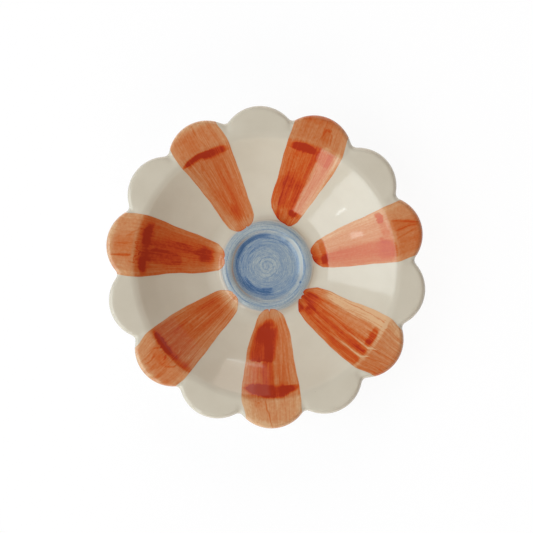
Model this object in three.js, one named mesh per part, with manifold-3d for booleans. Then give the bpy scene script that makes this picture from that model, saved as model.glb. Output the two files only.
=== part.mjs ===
// Dipping bowl: a shallow glazed earthenware bowl in the form of an open flower.
// A flat lip with fourteen round lobes runs round a smooth bowl, and every second lobe carries one brushed
// orange petal from the lip down to the middle. In the middle a raised ring holds a dished well, banded blue.
// Millimetres, +Z up. The origin lies on the table under the bowl's middle, and one orange petal points along -Y.

import * as THREE from "three";
import { mergeVertices } from "three/addons/utils/BufferGeometryUtils.js";
import Module from "manifold-3d";

// Driving dimensions: the lobed lip
const RIM_DIAMETER = 140; // across two opposite lobe tips
const LOBE_COUNT = 14;
const LOBE_DEPTH = 6.4; // from a lobe's tip in to where two bare lobes would meet
const VALLEY_BLEND = 2.6; // length of each lobe's arc that softens into the valley beside it
const LIP_WIDTH = 13.3; // from the ridge at the bowl's mouth out to a lobe's tip
const LIP_THICKNESS = 5.4;
const LIP_ROUND = 2.4; // roll of the lip's edge, above and below
const RIDGE_BLEND = 1.7; // softening of the ridge between the lip and the inner wall
const LIP_ROOT_BLEND = 4; // softening under the lip, where the outer wall meets it

// Driving dimensions: the bowl under the lip
const BOWL_DEPTH = 21; // from the lip's top down to the inner floor
const BASE_THICKNESS = 5; // clay between the inner floor and the foot
const WALL_THICKNESS = 5.2;
const WALL_BELLY = 2.6; // how far the wall's middle is drawn out below a straight cone
const WALL_BLEND = 9; // length of wall on each side that curves through the belly
const FLOOR_WIDTH = 4; // flat inner floor, from the ring's foot to where the wall starts to rise
const FLOOR_BLEND = 3;

// Driving dimensions: the raised ring and the well inside it
const WELL_DIAMETER = 32.6; // at the ring's top
const WELL_DEPTH = 2.6; // below the ring's top
const WELL_FLANK = 2.4; // how far the well's side runs in as it falls
const WELL_BLEND = 1.3;
const RING_WIDTH = 2.1; // over the ring's top
const RING_HEIGHT = 1.9; // above the inner floor
const RING_FLANK = 3.1; // how far the ring's outer flank runs out as it falls
const RING_BLEND = 1;

// Driving dimensions: the bare foot
const FOOT_DIAMETER = 54;
const FOOT_WIDTH = 4.6;
const FOOT_HEIGHT = 6;
const FOOT_TAPER = 0.8; // how much narrower each side of the foot is at the table
const FOOT_BLEND = 0.8;
const FOOT_SHOULDER = 1.6; // flat base that shows round the foot before the wall rises
const BASE_BLEND = 1.2;

// Driving dimensions: the layers of fired colour
const COLOUR_THICKNESS = 0.3;
const COLOUR_CLEARANCE = 0.3; // between a layer of colour and the clay under it, or the colour beside it
const BLUE_REACH = 1.4; // how far the blue band runs down the ring's outer flank, in plan
const LOBES_PER_PETAL = 2;
const PETAL_MARGIN = 0.6; // bare clay left outside a petal on the roll of the lip, in plan
const PETAL_CORNER = 2; // bare clay left beside a petal at each valley of its lobe
const PETAL_SPREAD = 0.6; // how far a petal passes its lobe's share of the ridge on each side
const PETAL_FLOOR_WIDTH = 12.4; // where a petal reaches the floor
const PETAL_TIP_LENGTH = 5; // the rounded end beyond that

// Fineness of the round forms
const FACETS_PER_LOBE = 4; // round the bowl
const FOOT_FACETS = 42;
const LOBE_STEPS = 8;
const VALLEY_STEPS = 2;
const ROLL_STEPS = 3;
const TIP_STEPS = 6;
const CHORD_ERROR = 0.1; // most that a softened corner's facets stray from its curve
const EDGE_SHARE = 0.48; // most of an edge that the softening of one corner may use

// Levels and radii that follow from the sizes above
const baseLevel = FOOT_HEIGHT;
const floorLevel = baseLevel + BASE_THICKNESS;
const rimLevel = floorLevel + BOWL_DEPTH;
const lipUnderside = rimLevel - LIP_THICKNESS;
const ringLevel = floorLevel + RING_HEIGHT;
const wellLevel = ringLevel - WELL_DEPTH;
const rimRadius = RIM_DIAMETER / 2;
const mouthRadius = rimRadius - LIP_WIDTH;
const wellRadius = WELL_DIAMETER / 2;
const ringTopRadius = wellRadius + RING_WIDTH;
const ringRadius = ringTopRadius + RING_FLANK;
const floorRadius = ringRadius + FLOOR_WIDTH;
const blueRadius = ringTopRadius + BLUE_REACH;
const footRadius = FOOT_DIAMETER / 2;
const clearAbove = rimLevel + LIP_THICKNESS; // tools that open upwards end here
const bowlFacets = LOBE_COUNT * FACETS_PER_LOBE;

// One lobe is an arc through its tip and the two points where it would meet its neighbours.
const lobePitch = (2 * Math.PI) / LOBE_COUNT;
const meetingRadius = rimRadius - LOBE_DEPTH;
const meeting = new THREE.Vector2(meetingRadius, 0).rotateAround(new THREE.Vector2(), lobePitch / 2);
const lobeCentre = (rimRadius ** 2 - meetingRadius ** 2) / (2 * (rimRadius - meeting.x));
const lobeRadius = rimRadius - lobeCentre;
const lobeSweep = Math.atan2(meeting.y, meeting.x - lobeCentre);

const wasm = await Module();
wasm.setup();

// A closed geometry as a solid that can be joined and cut.
function toSolid(geometry) {
  const bare = geometry.clone();
  bare.deleteAttribute("normal");
  bare.deleteAttribute("uv");
  const merged = mergeVertices(bare);
  return new wasm.Manifold(
    new wasm.Mesh({
      numProp: 3,
      vertProperties: merged.attributes.position.array,
      triVerts: new Uint32Array(merged.index.array),
    }),
  );
}

// A solid as a geometry again, with flat normals.
function toGeometry(solid) {
  const mesh = solid.getMesh();
  const geometry = new THREE.BufferGeometry();
  geometry.setAttribute("position", new THREE.BufferAttribute(mesh.vertProperties, 3));
  geometry.setIndex(new THREE.BufferAttribute(mesh.triVerts, 1));
  geometry.computeVertexNormals();
  return geometry;
}

// A profile from corners [radius, height, blend]. A corner with a blend becomes a curve that starts and
// ends that far along its two edges.
function softProfile(corners) {
  const points = corners.map(([radius, height]) => new THREE.Vector2(radius, height));
  return points.flatMap((corner, i) => {
    const blend = corners[i][2];
    if (!blend) return [corner];
    const edges = [points[i - 1], points[i + 1]].map((other) => other.clone().sub(corner));
    const [start, end] = edges.map((edge) =>
      corner.clone().addScaledVector(edge, Math.min(blend / edge.length(), EDGE_SHARE)),
    );
    const bend = start.clone().add(end).addScaledVector(corner, -2).length();
    const steps = Math.max(2, Math.ceil(Math.sqrt(bend / (4 * CHORD_ERROR))));
    return new THREE.QuadraticBezierCurve(start, corner, end).getPoints(steps);
  });
}

// A profile of radii and heights, turned round the bowl's upright axis.
function revolve(profile, facets) {
  return new THREE.LatheGeometry(profile, facets).rotateX(Math.PI / 2);
}

// A plan outline pulled straight up between two levels, with rolled edges where a roll is given.
function pullUp(outline, bottom, top, roll = 0) {
  const settings = {
    depth: top - bottom - 2 * roll,
    bevelEnabled: roll > 0,
    bevelThickness: roll,
    bevelSize: roll,
    bevelOffset: -roll,
    bevelSegments: ROLL_STEPS,
  };
  return new THREE.ExtrudeGeometry(new THREE.Shape(outline), settings).translate(0, 0, bottom + roll);
}

// The wall bends once, at the belly, between the floor's edge and the ridge at the mouth.
const floorEdge = new THREE.Vector2(floorRadius, floorLevel);
const ridge = new THREE.Vector2(mouthRadius, rimLevel);
const wallRun = ridge.clone().sub(floorEdge);
const wallOutward = new THREE.Vector2(wallRun.y, -wallRun.x).normalize();

// The belly of the inner wall, or of a wall that lies some depth of clay further out.
function belly(depth) {
  return floorEdge.clone().addScaledVector(wallRun, 0.5).addScaledVector(wallOutward, WALL_BELLY + depth);
}

// The inner surface from the middle of the well out to the flat of the lip.
const innerBelly = belly(0);
const innerSurface = softProfile([
  [0, wellLevel],
  [wellRadius - WELL_FLANK, wellLevel, WELL_BLEND],
  [wellRadius, ringLevel, RING_BLEND],
  [ringTopRadius, ringLevel, RING_BLEND],
  [ringRadius, floorLevel, RING_BLEND],
  [floorEdge.x, floorEdge.y, FLOOR_BLEND],
  [innerBelly.x, innerBelly.y, WALL_BLEND],
  [ridge.x, ridge.y, RIDGE_BLEND],
  [rimRadius, rimLevel],
]);

// The lip's outline: lobe arcs joined by soft valleys, with one lobe's tip on the -Y axis.
function lobedOutline() {
  const kept = lobeSweep - VALLEY_BLEND / lobeRadius;
  const lobes = Array.from({ length: LOBE_COUNT }, (_, i) => {
    const angle = i * lobePitch - Math.PI / 2;
    const x = lobeCentre * Math.cos(angle);
    const y = lobeCentre * Math.sin(angle);
    return new THREE.EllipseCurve(x, y, lobeRadius, lobeRadius, angle - kept, angle + kept).getPoints(LOBE_STEPS);
  });
  return lobes.flatMap((lobe, i) => {
    const next = lobes[(i + 1) % LOBE_COUNT];
    const valleyAngle = (i + 0.5) * lobePitch - Math.PI / 2;
    const valley = new THREE.Vector2(meetingRadius, 0).rotateAround(new THREE.Vector2(), valleyAngle);
    const blend = new THREE.QuadraticBezierCurve(lobe[LOBE_STEPS], valley, next[0]).getPoints(VALLEY_STEPS);
    return [...lobe, ...blend.slice(1, VALLEY_STEPS)];
  });
}

// The fired clay: the lobed lip and the wall's outer form in one, with the bowl's hollow taken out.
function bowlBody() {
  const outerBelly = belly(WALL_THICKNESS);
  const spread = (ridge.x - innerBelly.x) / (ridge.y - innerBelly.y); // of the upper wall, for each unit of rise
  const lipRoot = outerBelly.x + spread * (lipUnderside - outerBelly.y);
  const lipMiddle = rimLevel - LIP_THICKNESS / 2;
  const outerForm = softProfile([
    [0, baseLevel],
    [footRadius + FOOT_SHOULDER, baseLevel, BASE_BLEND],
    [outerBelly.x, outerBelly.y, WALL_BLEND],
    [lipRoot, lipUnderside, LIP_ROOT_BLEND],
    [lipRoot + LIP_ROOT_BLEND / EDGE_SHARE, lipUnderside],
  ]);
  outerForm.pop();
  outerForm.push(new THREE.Vector2(outerForm.at(-1).x, lipMiddle), new THREE.Vector2(0, lipMiddle));
  const hollow = innerSurface.slice(0, -1);
  hollow.push(new THREE.Vector2(hollow.at(-1).x, clearAbove), new THREE.Vector2(0, clearAbove));
  const lip = pullUp(lobedOutline(), lipUnderside, rimLevel, LIP_ROUND);
  const closed = toSolid(revolve(outerForm, bowlFacets)).add(toSolid(lip));
  return toGeometry(closed.subtract(toSolid(revolve(hollow, bowlFacets))));
}

// The bare ring that the bowl stands on, luted to the flat of the base.
function footRing() {
  const inner = footRadius - FOOT_WIDTH;
  const profile = softProfile([
    [inner, baseLevel],
    [inner + FOOT_TAPER, 0, FOOT_BLEND],
    [footRadius - FOOT_TAPER, 0, FOOT_BLEND],
    [footRadius, baseLevel],
    [inner, baseLevel],
  ]);
  return revolve(profile, FOOT_FACETS);
}

// A layer of colour: the clay's upper surface raised by a little more than the clearance, inside a plan outline
// that is pulled up through the whole bowl.
function colourLayer(clay, outline) {
  const raised = (lift) => toSolid(clay.clone().translate(0, 0, lift));
  const skin = raised(COLOUR_CLEARANCE + COLOUR_THICKNESS).subtract(raised(COLOUR_CLEARANCE));
  return toGeometry(skin.intersect(toSolid(pullUp(outline, 0, clearAbove).rotateZ(-Math.PI / 2))));
}

// The blue band's outline: well, ring top and the upper part of the ring's flank.
function blueOutline() {
  return new THREE.EllipseCurve(0, 0, blueRadius, blueRadius).getPoints(bowlFacets).slice(1);
}

// A petal's outline, lying along +X: a rounded tip near the blue band, sides that spread up the wall to the
// ridge and run almost straight over the lip, and an end that follows its lobe over the roll of the edge.
function petalOutline() {
  const tipRadius = blueRadius + COLOUR_CLEARANCE;
  const shoulder = tipRadius + PETAL_TIP_LENGTH;
  const endRadius = lobeRadius - PETAL_MARGIN;
  const endSweep = Math.asin((meeting.y - PETAL_CORNER) / endRadius);
  const ridgeHalf = mouthRadius * Math.sin(lobePitch / 2) + PETAL_SPREAD;
  const lobeEnd = new THREE.EllipseCurve(lobeCentre, 0, endRadius, endRadius, -endSweep, endSweep);
  const shoulders = [1, -1].map((side) => new THREE.Vector2(shoulder, (side * PETAL_FLOOR_WIDTH) / 2));
  const pull = shoulder - PETAL_TIP_LENGTH / 0.75; // such a curve reaches three quarters of the way to its handles
  const handles = shoulders.map((point) => new THREE.Vector2(pull, point.y));
  const tip = new THREE.CubicBezierCurve(shoulders[0], ...handles, shoulders[1]);
  return [
    ...tip.getPoints(TIP_STEPS),
    new THREE.Vector2(mouthRadius, -ridgeHalf),
    ...lobeEnd.getPoints(LOBE_STEPS),
    new THREE.Vector2(mouthRadius, ridgeHalf),
  ];
}

// Finishes
const creamGlaze = new THREE.MeshStandardMaterial({ color: 0xc6bfad, roughness: 0.12, metalness: 0 });
const bareClay = new THREE.MeshStandardMaterial({ color: 0xb8a78f, roughness: 0.75, metalness: 0 });
const orangeColour = new THREE.MeshStandardMaterial({ color: 0xbb6c3c, roughness: 0.12, metalness: 0 });
const blueColour = new THREE.MeshStandardMaterial({ color: 0x7f93a4, roughness: 0.12, metalness: 0 });

// A named piece of the bowl
function piece(name, geometry, material) {
  const mesh = new THREE.Mesh(geometry, material);
  mesh.name = name;
  return mesh;
}

const clay = bowlBody();
const dippingBowl = new THREE.Group();
dippingBowl.add(
  piece("bowl_body", clay, creamGlaze),
  piece("foot_ring", footRing(), bareClay),
  piece("blue_centre", colourLayer(clay, blueOutline()), blueColour),
);

const petal = colourLayer(clay, petalOutline());
for (let i = 0; i < LOBE_COUNT / LOBES_PER_PETAL; i++) {
  const orangePetal = piece(`orange_petal_${i + 1}`, petal, orangeColour);
  orangePetal.rotation.z = i * LOBES_PER_PETAL * lobePitch;
  dippingBowl.add(orangePetal);
}

export default dippingBowl;
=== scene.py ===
# %% [markdown]
# # A dipping bowl in the form of an open flower
# The real bowl is one piece of hand-formed earthenware: a flat lip pressed into fourteen lobes, a smooth
# wall, a low ring and a small well in the middle. Seven orange petals and a blue middle were brushed on
# before one clear glaze went over everything.
# The packed model is loaded first. It is the fixed frame that every piece is built in, in metres.

# %% Load the frame
import bisect
import math

import bmesh
import bpy
from mathutils import Matrix, Vector


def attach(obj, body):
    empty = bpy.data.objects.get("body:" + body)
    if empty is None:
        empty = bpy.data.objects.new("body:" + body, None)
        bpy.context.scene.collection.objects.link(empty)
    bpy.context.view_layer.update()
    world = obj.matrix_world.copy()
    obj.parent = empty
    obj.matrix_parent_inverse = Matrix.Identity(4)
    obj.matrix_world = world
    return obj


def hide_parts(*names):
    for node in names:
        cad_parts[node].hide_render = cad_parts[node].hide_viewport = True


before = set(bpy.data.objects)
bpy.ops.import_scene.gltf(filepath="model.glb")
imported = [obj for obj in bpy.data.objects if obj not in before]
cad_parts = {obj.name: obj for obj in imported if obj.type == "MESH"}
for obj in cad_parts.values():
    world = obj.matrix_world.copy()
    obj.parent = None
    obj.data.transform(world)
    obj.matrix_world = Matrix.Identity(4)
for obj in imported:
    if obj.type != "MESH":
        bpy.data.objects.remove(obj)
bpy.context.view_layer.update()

MM = 0.001
print("CAD nodes:", sorted(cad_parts))

# %% [markdown]
# ## The section of the clay
# A potter shapes a bowl by its section, the line that a cut through the middle would show. A section
# could be drawn point by point, but it is easier to change when only its corners are given: radius,
# height and how far each is softened. A vertex bevel then rounds each corner, and long straight stretches
# are subdivided so that later steps have points to move.

# %% Corners of the section, in millimetres
RIM_RADIUS = 69.9
MOUTH_RADIUS = 56.7
LIP_TOP = 32
LIP_UNDERSIDE = 26.6
LIP_ROLL = 2.4
FLOOR_LEVEL = 11
RING_TOP = 12.9
WELL_LEVEL = 10.3
BASE_LEVEL = 6
BASE_CORNERS = [(0, BASE_LEVEL, 0), (28.6, BASE_LEVEL, 1.2)]
UNDER_CORNERS = [(45.45, 15.03, 9), (58.4, LIP_UNDERSIDE, 4)]
LIP_CORNERS = [(RIM_RADIUS, LIP_UNDERSIDE, LIP_ROLL), (RIM_RADIUS, LIP_TOP, LIP_ROLL)]
WALL_CORNERS = [(MOUTH_RADIUS, LIP_TOP, 2.2), (42.55, 19.34, 9), (25.5, FLOOR_LEVEL, 2.5)]
RING_CORNERS = [(21.5, FLOOR_LEVEL, 1.2), (18.4, RING_TOP, 1), (16.3, RING_TOP, 0.9)]
WELL_CORNERS = [(13.9, WELL_LEVEL, 2.4), (0, WELL_LEVEL, 0)]
LONGEST_STEP = 1.5
TINY = 0.001


def soft_wire(corners, segments=8):
    """A wire through the corners, with each corner rounded and each long stretch cut into shorter ones."""
    wire = bmesh.new()
    posts = [wire.verts.new((radius * MM, 0, height * MM)) for radius, height, soft in corners]
    for here, there in zip(posts, posts[1:]):
        wire.edges.new((here, there))
    for post, (radius, height, soft) in zip(posts, corners):
        if soft:
            bmesh.ops.bevel(
                wire,
                geom=[post],
                offset=soft * MM,
                offset_type="OFFSET",
                segments=segments,
                profile=0.5,
                affect="VERTICES",
                material=-1,
            )
    for edge in [edge for edge in wire.edges if edge.calc_length() > LONGEST_STEP * MM]:
        bmesh.ops.subdivide_edges(wire, edges=[edge], cuts=int(edge.calc_length() / (LONGEST_STEP * MM)))
    return wire


outside = BASE_CORNERS + UNDER_CORNERS + LIP_CORNERS
inside = WALL_CORNERS + RING_CORNERS + WELL_CORNERS
section = soft_wire(outside + inside)
print("section of the clay:", len(section.verts), "points")

# %% [markdown]
# ## A line to lay colour along
# The colours lie on the upper side of the clay, so they need to know where that surface runs. The inner
# half of the section is read off the wire in order, from the middle of the well out to the widest point
# of the lip's roll, together with the direction that points away from the clay. Any layer of colour can
# then be placed by how far it has run along this line.

# %% Read the upper side of the section in order


def points_in_order(wire, start):
    """The wire's points from one loose end to the other."""
    ordered, before = [start], None
    while True:
        here = ordered[-1]
        ahead = [edge.other_vert(here) for edge in here.link_edges if edge.other_vert(here) is not before]
        if not ahead:
            return [point.co.copy() for point in ordered]
        before = here
        ordered.append(ahead[0])


well_middle = max((point for point in section.verts if point.co.x == 0), key=lambda point: point.co.z)
upper_line = points_in_order(section, well_middle)
widest = next(i for i, point in enumerate(upper_line) if point.x > (RIM_RADIUS - TINY) * MM)
upper_line = upper_line[: widest + 1]
line_length = [0.0]
for here, there in zip(upper_line, upper_line[1:]):
    line_length.append(line_length[-1] + (there - here).length)


def away_from_clay(index):
    """The direction at right angles to the upper line, out of the clay."""
    before = upper_line[max(index - 1, 0)]
    after = upper_line[min(index + 1, len(upper_line) - 1)]
    along = (after - before).normalized()
    return Vector((-along.z, 0, along.x))


line_normal = [away_from_clay(i) for i in range(len(upper_line))]
line_normal[0] = Vector((0, 0, 1))


def on_upper_line(length, lift):
    """Radius and height of the point that lies this far along the upper line, lifted off the clay."""
    length = min(max(length, 0.0), line_length[-1])
    after = min(max(bisect.bisect_left(line_length, length), 1), len(line_length) - 1)
    before = after - 1
    share = (length - line_length[before]) / (line_length[after] - line_length[before])
    point = upper_line[before].lerp(upper_line[after], share)
    normal = line_normal[before].lerp(line_normal[after], share).normalized()
    return point.x + normal.x * lift, point.z + normal.z * lift


def length_at(radius):
    """How far along the upper line a radius on the wall or the lip is reached, in metres."""
    index = max(i for i, point in enumerate(upper_line) if point.x <= radius)
    if index + 1 == len(upper_line):
        return line_length[-1]
    span = upper_line[index + 1].x - upper_line[index].x
    share = (radius - upper_line[index].x) / span
    return line_length[index] + share * (line_length[index + 1] - line_length[index])


print("upper line:", len(upper_line), "points,", round(line_length[-1] / MM, 1), "mm long")

# %% [markdown]
# ## The lobes of the lip
# On the real bowl the soft lip was pressed in between the lobes, so the lobes are round and the valleys
# are small soft notches with a pinch running in from each. Cutting the lobes out with a tool shape would
# lose the roll of the edge. Here every point of the lip is pushed in towards the middle by as much as the
# lobed outline lies inside the round rim, which carries the roll along.

# %% Outline of the lobes
LOBE_COUNT = 14
LOBE_MEETING = 63.6
VALLEY_ROUND = 2.8
FRONT = math.radians(-90)
half_lobe = math.pi / LOBE_COUNT
meeting_x = LOBE_MEETING * math.cos(half_lobe)
meeting_y = LOBE_MEETING * math.sin(half_lobe)
lobe_reach = RIM_RADIUS - meeting_x
LOBE_ROUND = (meeting_y**2 + lobe_reach**2) / (2 * lobe_reach)
LOBE_MIDDLE = RIM_RADIUS - LOBE_ROUND
valley_x = LOBE_MIDDLE * math.cos(half_lobe)
valley_y = LOBE_MIDDLE * math.sin(half_lobe)
VALLEY_MIDDLE = valley_x + math.sqrt((LOBE_ROUND + VALLEY_ROUND) ** 2 - valley_y**2)
touch_share = VALLEY_ROUND / (LOBE_ROUND + VALLEY_ROUND)
touch_x = VALLEY_MIDDLE + (valley_x - VALLEY_MIDDLE) * touch_share
VALLEY_END = math.atan2(valley_y * touch_share, touch_x)


def off_lobe(angle):
    """Angle from the nearest lobe's tip, which is never more than half a lobe."""
    return abs((angle - FRONT + half_lobe) % (2 * half_lobe) - half_lobe)


def lip_edge(angle):
    """Radius of the lip's edge in this direction: an arc for the lobe and a small one for the valley."""
    off = off_lobe(angle)
    turn = half_lobe - off
    if turn < VALLEY_END:
        half_chord = math.sqrt(VALLEY_ROUND**2 - (VALLEY_MIDDLE * math.sin(turn)) ** 2)
        return VALLEY_MIDDLE * math.cos(turn) - half_chord
    half_chord = math.sqrt(LOBE_ROUND**2 - (LOBE_MIDDLE * math.sin(off)) ** 2)
    return LOBE_MIDDLE * math.cos(off) + half_chord


print("lip in a valley:", round(lip_edge(FRONT + half_lobe), 2), "mm, at a lobe's tip:", RIM_RADIUS, "mm")

# %% Press the lobes into a point of the lip
PRESS_START = 58.6
PRESS_FULL = RIM_RADIUS - LIP_ROLL
PINCH_DEPTH = 0.5
PINCH_WIDTH = 1.3
LIP_MIDDLE_HEIGHT = (LIP_UNDERSIDE + LIP_TOP) / 2
UNEVEN_EDGE = 0.12
UNEVEN_LEVEL = 0.12


def soft_step(value):
    """0 up to 0, 1 from 1 on, and a smooth rise between."""
    value = min(max(value, 0.0), 1.0)
    return value * value * (3 - 2 * value)


def press_lobes(point):
    """Where a point of the round bowl goes when the lip is pressed into lobes, uneven as by hand."""
    radius = math.hypot(point.x, point.y) / MM
    if radius <= PRESS_START:
        return point
    angle = math.atan2(point.y, point.x)
    share = min(1.0, (radius - PRESS_START) / (PRESS_FULL - PRESS_START))
    edge = lip_edge(angle) - UNEVEN_EDGE * (1 + math.sin(3 * angle + 0.6) * math.cos(2 * angle - 1.1))
    new_radius = radius - (RIM_RADIUS - edge) * share
    off_valley = (half_lobe - off_lobe(angle)) * new_radius
    pinch = PINCH_DEPTH * math.exp(-((off_valley / PINCH_WIDTH) ** 2)) * soft_step(share * 1.2 - 0.2)
    level = UNEVEN_LEVEL * math.sin(2 * angle + 0.4) * soft_step(share)
    above = soft_step((point.z / MM - LIP_MIDDLE_HEIGHT) / LIP_ROLL + 0.5)
    height = point.z / MM + level - pinch * above
    return Vector((new_radius * math.cos(angle) * MM, new_radius * math.sin(angle) * MM, height * MM))


back_tip = press_lobes(Vector((0, RIM_RADIUS, LIP_MIDDLE_HEIGHT)) * MM)
print("the lobe at the back ends at", [round(part / MM, 2) for part in back_tip])

# %% [markdown]
# ## The clay body
# Spinning the section does what the potter's wheel does. A full spin in fine steps is slow in bmesh, so
# one lobe's share of the circle is spun, and that sector is copied round the axis. The seams are merged,
# the points on the axis become one pole each, the faces are turned outwards, and the lobes are pressed in
# last.

# %% Turn the body
STEPS_A_LOBE = 32


def turn_on_wheel(wire, steps):
    """The wire spun a full circle about the upright axis, closed at its seams and at the poles."""
    share = 2 * math.pi / LOBE_COUNT
    wheel = {"cent": (0, 0, 0), "axis": (0, 0, 1), "dvec": (0, 0, 0)}
    bmesh.ops.spin(wire, geom=wire.verts[:] + wire.edges[:], angle=share, steps=steps, **wheel)
    sector = wire.verts[:] + wire.edges[:] + wire.faces[:]
    copies = LOBE_COUNT - 1
    bmesh.ops.spin(wire, geom=sector, angle=share * copies, steps=copies, use_duplicate=True, **wheel)
    bmesh.ops.remove_doubles(wire, verts=wire.verts[:], dist=TINY * MM)
    bmesh.ops.recalc_face_normals(wire, faces=wire.faces[:])


def finished_piece(name, shape, sharp=60):
    """The shape as an object at the origin, shaded smooth apart from edges that turn more than this."""
    for face in shape.faces:
        face.smooth = True
    for edge in shape.edges:
        edge.smooth = edge.calc_face_angle(0) < math.radians(sharp)
    mesh = bpy.data.meshes.new(name)
    shape.to_mesh(mesh)
    shape.free()
    piece = bpy.data.objects.new(name, mesh)
    bpy.context.scene.collection.objects.link(piece)
    print(name, "has", len(mesh.polygons), "faces")
    return piece


turn_on_wheel(section, STEPS_A_LOBE)
for point in section.verts:
    point.co = press_lobes(point.co)
bowl_body = finished_piece("clay_body", section)

# %% [markdown]
# ## The foot
# The bowl stands on a ring of bare clay that was luted on under the base and wiped clean of glaze. Its
# section is a closed loop of four corners, a little narrower at the table, and the wheel turns it as
# before.

# %% Turn the foot
FOOT_TOP = BASE_LEVEL - 0.02
FOOT_CORNERS = [(23.2, 0, 0.8), (26.2, 0, 0.8), (27, FOOT_TOP, 0), (22.4, FOOT_TOP, 0)]
FOOT_STEPS_A_LOBE = 12
foot_wire = soft_wire(FOOT_CORNERS, segments=5)
foot_ends = [point for point in foot_wire.verts if len(point.link_edges) == 1]
foot_wire.edges.new(foot_ends)
turn_on_wheel(foot_wire, FOOT_STEPS_A_LOBE)
foot = finished_piece("foot", foot_wire, sharp=50)

# %% [markdown]
# ## The blue middle
# Blue was banded on while the bowl turned, over the ring and the well, so its edge is a nearly true
# circle. A flat wheel of wire is spun first, and each of its points is then laid on the clay at the same
# distance along the upper line. A solidify gives the film a little thickness, down into the clay, so that
# it can't float.

# %% Lay the blue film
BLUE_LIFT = 0.03 * MM
FILM_BED = 0.05 * MM
BLUE_RADIUS = 20.6
BLUE_STEPS = 42
BLUE_STEPS_A_LOBE = 16
blue_reach = length_at(BLUE_RADIUS * MM)


def blue_edge(angle):
    """How far the blue runs along the upper line in this direction: the hand isn't quite steady."""
    waver = 0.14 * math.sin(2 * angle + 1.0) + 0.09 * math.sin(5 * angle) + 0.04 * math.sin(13 * angle + 2)
    return blue_reach + waver * MM


blue_shape = bmesh.new()
spokes = [blue_shape.verts.new((blue_reach * i / BLUE_STEPS, 0, 0)) for i in range(BLUE_STEPS + 1)]
for here, there in zip(spokes, spokes[1:]):
    blue_shape.edges.new((here, there))
turn_on_wheel(blue_shape, BLUE_STEPS_A_LOBE)
for point in blue_shape.verts:
    run = math.hypot(point.co.x, point.co.y) / blue_reach
    angle = math.atan2(point.co.y, point.co.x)
    radius, height = on_upper_line(run * blue_edge(angle), BLUE_LIFT)
    point.co = (radius * math.cos(angle), radius * math.sin(angle), height)
bmesh.ops.solidify(blue_shape, geom=blue_shape.faces[:], thickness=BLUE_LIFT + FILM_BED)
blue_middle = finished_piece("blue_middle", blue_shape)

# %% [markdown]
# ## The seven petals
# Each petal is a few strokes of a loaded brush, pulled from the lip down to the blue ring. No two are
# alike: the sides lean, and the tip often splits where strokes end side by side. Each petal is described
# by its half widths in five places, on the left and the right as seen with the petal pointing up. Then
# come its tip, as radius, lean and the rounding of its left and right, and its splits, as place, depth
# and width. A grid is laid along the upper line, its sides follow those widths, and its place in the
# stroke is kept in a UV map: across the brush, and out from the middle of the bowl.

# %% How each petal was brushed, in millimetres
WIDTH_PLACES = (24, 30, 39, 57, 64.5)
PETALS = {
    "orange_petal_1": {
        "left": (6.9, 8.8, 9.9, 12.7, 13.1),
        "right": (5.6, 7.8, 10.5, 13.1, 11.7),
        "tip": (18.9, 0.0, 3.6, 3.0),
        "splits": [(-0.04, 1.2, 0.05)],
    },
    "orange_petal_2": {
        "left": (5.5, 7.5, 9.5, 14.1, 12.6),
        "right": (7.9, 9.7, 11.3, 12.4, 10.4),
        "tip": (19.6, 0.3, 5.0, 4.5),
        "splits": [(0.08, 0.9, 0.06), (0.42, 0.9, 0.06), (0.25, 0.5, 0.15)],
    },
    "orange_petal_3": {
        "left": (4.8, 6.5, 8.3, 11.3, 12.6),
        "right": (7.0, 8.7, 10.1, 12.9, 12.5),
        "tip": (20.3, 0.2, 5.0, 4.5),
        "splits": [(0.1, 0.3, 0.06)],
    },
    "orange_petal_4": {
        "left": (7.5, 9.9, 10.9, 12.8, 13.0),
        "right": (5.1, 6.4, 8.8, 12.2, 11.1),
        "tip": (20.2, -0.8, 5.0, 4.0),
        "splits": [],
    },
    "orange_petal_5": {
        "left": (6.9, 7.9, 8.5, 11.6, 12.3),
        "right": (6.0, 7.2, 8.8, 11.9, 11.2),
        "tip": (19.2, 0.3, 4.6, 4.0),
        "splits": [(0.1, 0.6, 0.06)],
    },
    "orange_petal_6": {
        "left": (6.7, 8.3, 9.8, 14.2, 14.5),
        "right": (6.3, 7.7, 9.6, 13.4, 12.8),
        "tip": (18.8, 0.8, 3.6, 4.0),
        "splits": [(0.05, 0.4, 0.06)],
    },
    "orange_petal_7": {
        "left": (6.2, 7.8, 9.3, 12.9, 13.1),
        "right": (6.0, 7.9, 10.2, 12.7, 11.2),
        "tip": (18.8, 0.0, 4.6, 4.0),
        "splits": [(0.2, 0.3, 0.06)],
    },
}
TIP_NARROWING = 1.4


def half_width(widths, radius):
    """Half the stroke's width at a radius, read smoothly between the given places."""
    if radius <= WIDTH_PLACES[0]:
        slope = (widths[1] - widths[0]) / (WIDTH_PLACES[1] - WIDTH_PLACES[0])
        return widths[0] + slope * (radius - WIDTH_PLACES[0]) * TIP_NARROWING
    if radius >= WIDTH_PLACES[-1]:
        return widths[-1]
    span = max(i for i in range(len(WIDTH_PLACES) - 1) if WIDTH_PLACES[i] <= radius)
    step = WIDTH_PLACES[span + 1] - WIDTH_PLACES[span]
    share = (radius - WIDTH_PLACES[span]) / step
    slopes = []
    for i in (span, span + 1):
        low, high = max(i - 1, 0), min(i + 1, len(widths) - 1)
        slopes.append((widths[high] - widths[low]) / (WIDTH_PLACES[high] - WIDTH_PLACES[low]))
    square, cube = share * share, share * share * share
    first = (2 * cube - 3 * square + 1) * widths[span] + (cube - 2 * square + share) * step * slopes[0]
    second = (3 * square - 2 * cube) * widths[span + 1] + (cube - square) * step * slopes[1]
    return first + second


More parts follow.
